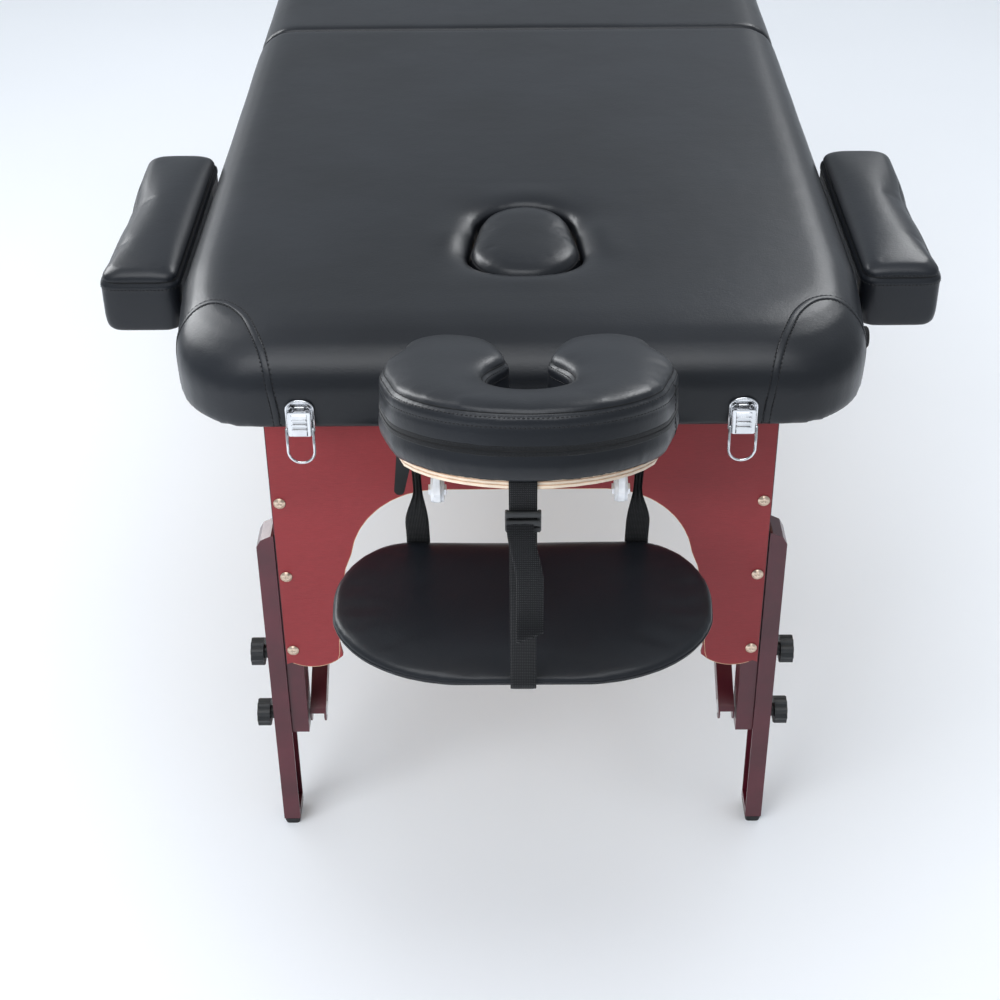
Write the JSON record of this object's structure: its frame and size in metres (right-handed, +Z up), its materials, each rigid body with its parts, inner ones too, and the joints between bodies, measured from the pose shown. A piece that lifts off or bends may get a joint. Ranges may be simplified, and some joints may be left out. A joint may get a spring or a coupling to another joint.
{
  "type": "portable massage table",
  "caption": "Folding portable massage table with a padded two-part top, adjustable legs, side armrests, a tilting face rest and a hanging arm shelf.",
  "frame": {"origin": "on the floor, under the middle of the whole table's box with the face rest and armrests on", "axes": "+Z up; +Y from the head end, which carries the face rest, to the foot end; +X to the right when the head end is faced"},
  "size_m": [0.956, 2.2472, 0.7993],
  "materials": {
    "vinyl": "black upholstery vinyl, soft satin with a fine grain",
    "frame_wood": "plain hardwood rails and deck",
    "birch_ply": "birch plywood with a light edge",
    "panel_red": "red stained panel with a fine grain",
    "leg_paint": "dark burgundy gloss paint",
    "steel": "zinc plated steel",
    "chrome": "bright chrome plate",
    "black_plastic": "black moulded nylon",
    "rubber": "black rubber",
    "webbing": "black woven webbing"
  },
  "bodies": {
    "head_section": {"head_frame": "frame_wood", "head_pad": "vinyl", "hinge_leaf_head": "steel", "latch_base_left": "chrome", "latch_base_right": "chrome"},
    "breath_plug": {"breath_plug": "vinyl"},
    "foot_section": {"foot_frame": "frame_wood", "foot_pad": "vinyl", "hinge_leaf_foot": "steel", "latch_keeper_left": "chrome", "latch_keeper_right": "chrome"},
    "latch_lever_left": {"latch_lever_left": "chrome"},
    "latch_bail_left": {"latch_bail_left": "chrome"},
    "armrest_left": {"armrest_pad_left": "vinyl", "armrest_rods_left": "steel"},
    "latch_lever_right": {"latch_lever_right": "chrome"},
    "latch_bail_right": {"latch_bail_right": "chrome"},
    "armrest_right": {"armrest_pad_right": "vinyl", "armrest_rods_right": "steel"},
    "head_leg_set": {"head_panel": "panel_red", "head_leg_left": "leg_paint", "head_leg_right": "leg_paint"},
    "head_strut_low": {"head_strut_lower_left": "leg_paint", "head_strut_lower_right": "leg_paint"},
    "head_strut_up": {"head_strut_upper_left": "leg_paint", "head_strut_upper_right": "leg_paint"},
    "head_extension_left": {"head_extension_left": "leg_paint", "head_foot_left": "rubber"},
    "head_knob_low_left": {"head_knob_low_left": "black_plastic"},
    "head_knob_high_left": {"head_knob_high_left": "black_plastic"},
    "head_extension_right": {"head_extension_right": "leg_paint", "head_foot_right": "rubber"},
    "head_knob_low_right": {"head_knob_low_right": "black_plastic"},
    "head_knob_high_right": {"head_knob_high_right": "black_plastic"},
    "foot_leg_set": {"foot_panel": "panel_red", "foot_leg_left": "leg_paint", "foot_leg_right": "leg_paint"},
    "foot_strut_low": {"foot_strut_lower_left": "leg_paint", "foot_strut_lower_right": "leg_paint"},
    "foot_strut_up": {"foot_strut_upper_left": "leg_paint", "foot_strut_upper_right": "leg_paint"},
    "foot_extension_left": {"foot_extension_left": "leg_paint", "foot_foot_left": "rubber"},
    "foot_knob_low_left": {"foot_knob_low_left": "black_plastic"},
    "foot_knob_high_left": {"foot_knob_high_left": "black_plastic"},
    "foot_extension_right": {"foot_extension_right": "leg_paint", "foot_foot_right": "rubber"},
    "foot_knob_low_right": {"foot_knob_low_right": "black_plastic"},
    "foot_knob_high_right": {"foot_knob_high_right": "black_plastic"},
    "rest_base": {"rest_base": "steel"},
    "rest_arms": {"rest_arms": "steel"},
    "rest_board": {"rest_board": "birch_ply", "rest_bracket": "steel", "face_cushion": "vinyl"},
    "cam_lever": {"cam_lever": "black_plastic"},
    "arm_shelf": {"arm_shelf": "vinyl", "strap_front": "webbing", "strap_rear_left": "webbing", "strap_rear_right": "webbing", "strap_lock": "black_plastic"}
  },
  "joints": [
    {"name": "table_fold", "type": "hinge", "parent": "head_section", "child": "foot_section", "pos_m": [0, 0.14655, 0.6035], "axis": [-1, 0, 0], "range_deg": [0, 180]},
    {"name": "plug_lift", "type": "slide", "parent": "head_section", "child": "breath_plug", "axis": [0, 0, 1], "range_m": [0, 0.12]},
    {"name": "lever_left", "type": "hinge", "parent": "head_section", "child": "latch_lever_left", "pos_m": [-0.2295, -0.83105, 0.611], "axis": [1, 0, 0], "range_deg": [0, 100]},
    {"name": "bail_left", "type": "hinge", "parent": "latch_lever_left", "child": "latch_bail_left", "pos_m": [-0.2295, -0.83365, 0.615], "axis": [-1, 0, 0], "range_deg": [0, 101]},
    {"name": "armrest_slide_left", "type": "slide", "parent": "head_section", "child": "armrest_left", "axis": [-1, 0, 0], "range_m": [0, 0.08]},
    {"name": "lever_right", "type": "hinge", "parent": "head_section", "child": "latch_lever_right", "pos_m": [0.2295, -0.83105, 0.611], "axis": [1, 0, 0], "range_deg": [0, 100]},
    {"name": "bail_right", "type": "hinge", "parent": "latch_lever_right", "child": "latch_bail_right", "pos_m": [0.2295, -0.83365, 0.615], "axis": [-1, 0, 0], "range_deg": [0, 101]},
    {"name": "armrest_slide_right", "type": "slide", "parent": "head_section", "child": "armrest_right", "axis": [1, 0, 0], "range_m": [0, 0.08]},
    {"name": "head_leg_fold", "type": "hinge", "parent": "head_section", "child": "head_leg_set", "pos_m": [0, -0.75545, 0.6315], "axis": [1, 0, 0], "range_deg": [0, 90]},
    {"name": "head_strut_low_fold", "type": "hinge", "parent": "head_leg_set", "child": "head_strut_low", "pos_m": [0, -0.75545, 0.1655], "axis": [1, 0, 0], "range_deg": [0, 60]},
    {"name": "head_strut_up_fold", "type": "hinge", "parent": "head_section", "child": "head_strut_up", "pos_m": [0, 0.04455, 0.6315], "axis": [1, 0, 0], "range_deg": [-31.5, 0]},
    {"name": "head_extension_left_slide", "type": "slide", "parent": "head_leg_set", "child": "head_extension_left", "axis": [0, 0, -1], "range_m": [-0.09, 0.14]},
    {"name": "head_knob_low_left_turn", "type": "hinge", "parent": "head_leg_set", "child": "head_knob_low_left", "pos_m": [-0.29, -0.75545, 0.1655], "axis": [-1, 0, 0], "continuous": true},
    {"name": "head_knob_high_left_turn", "type": "hinge", "parent": "head_leg_set", "child": "head_knob_high_left", "pos_m": [-0.29, -0.75545, 0.259], "axis": [-1, 0, 0], "continuous": true},
    {"name": "head_extension_right_slide", "type": "slide", "parent": "head_leg_set", "child": "head_extension_right", "axis": [0, 0, -1], "range_m": [-0.09, 0.14]},
    {"name": "head_knob_low_right_turn", "type": "hinge", "parent": "head_leg_set", "child": "head_knob_low_right", "pos_m": [0.29, -0.75545, 0.1655], "axis": [1, 0, 0], "continuous": true},
    {"name": "head_knob_high_right_turn", "type": "hinge", "parent": "head_leg_set", "child": "head_knob_high_right", "pos_m": [0.29, -0.75545, 0.259], "axis": [1, 0, 0], "continuous": true},
    {"name": "foot_leg_fold", "type": "hinge", "parent": "foot_section", "child": "foot_leg_set", "pos_m": [0, 1.04855, 0.6315], "axis": [-1, 0, 0], "range_deg": [0, 90]},
    {"name": "foot_strut_low_fold", "type": "hinge", "parent": "foot_leg_set", "child": "foot_strut_low", "pos_m": [0, 1.04855, 0.1655], "axis": [-1, 0, 0], "range_deg": [0, 60]},
    {"name": "foot_strut_up_fold", "type": "hinge", "parent": "foot_section", "child": "foot_strut_up", "pos_m": [0, 0.24855, 0.6315], "axis": [-1, 0, 0], "range_deg": [-31.5, 0]},
    {"name": "foot_extension_left_slide", "type": "slide", "parent": "foot_leg_set", "child": "foot_extension_left", "axis": [0, 0, -1], "range_m": [-0.09, 0.14]},
    {"name": "foot_knob_low_left_turn", "type": "hinge", "parent": "foot_leg_set", "child": "foot_knob_low_left", "pos_m": [-0.29, 1.04855, 0.1655], "axis": [-1, 0, 0], "continuous": true},
    {"name": "foot_knob_high_left_turn", "type": "hinge", "parent": "foot_leg_set", "child": "foot_knob_high_left", "pos_m": [-0.29, 1.04855, 0.259], "axis": [-1, 0, 0], "continuous": true},
    {"name": "foot_extension_right_slide", "type": "slide", "parent": "foot_leg_set", "child": "foot_extension_right", "axis": [0, 0, -1], "range_m": [-0.09, 0.14]},
    {"name": "foot_knob_low_right_turn", "type": "hinge", "parent": "foot_leg_set", "child": "foot_knob_low_right", "pos_m": [0.29, 1.04855, 0.1655], "axis": [1, 0, 0], "continuous": true},
    {"name": "foot_knob_high_right_turn", "type": "hinge", "parent": "foot_leg_set", "child": "foot_knob_high_right", "pos_m": [0.29, 1.04855, 0.259], "axis": [1, 0, 0], "continuous": true},
    {"name": "rest_slide", "type": "slide", "parent": "head_section", "child": "rest_base", "axis": [0, -1, 0], "range_m": [0, 0.2]},
    {"name": "rest_lift", "type": "hinge", "parent": "rest_base", "child": "rest_arms", "pos_m": [0.006, -0.85745, 0.628], "axis": [-1, 0, 0], "range_deg": [0, 20]},
    {"name": "rest_tilt", "type": "hinge", "parent": "rest_arms", "child": "rest_board", "pos_m": [0.006, -0.95846, 0.67233], "axis": [-1, 0, 0], "range_deg": [0, 8]},
    {"name": "cam_lever_turn", "type": "hinge", "parent": "rest_base", "child": "cam_lever", "pos_m": [-0.118, -0.85745, 0.628], "axis": [0, 1, 0], "range_deg": [0, 110]},
    {"name": "shelf_sway", "type": "slide", "parent": "rest_board", "child": "arm_shelf", "axis": [0, -1, 0], "range_m": [-0.012, 0.03], "stiffness_N_per_m": 30, "deforming": ["strap_front", "strap_rear_left", "strap_rear_right"]}
  ],
  "couplings": [
    {"joint": "bail_left", "follows": "lever_left", "ratio": 1},
    {"joint": "bail_right", "follows": "lever_right", "ratio": 1},
    {"joint": "head_leg_fold", "follows": "table_fold", "ratio": 0.5},
    {"joint": "head_strut_low_fold", "follows": "table_fold", "ratio": 0.33211},
    {"joint": "head_strut_up_fold", "follows": "table_fold", "ratio": -0.17222},
    {"joint": "foot_leg_fold", "follows": "table_fold", "ratio": 0.5},
    {"joint": "foot_strut_low_fold", "follows": "table_fold", "ratio": 0.33211},
    {"joint": "foot_strut_up_fold", "follows": "table_fold", "ratio": -0.17222}
  ]
}
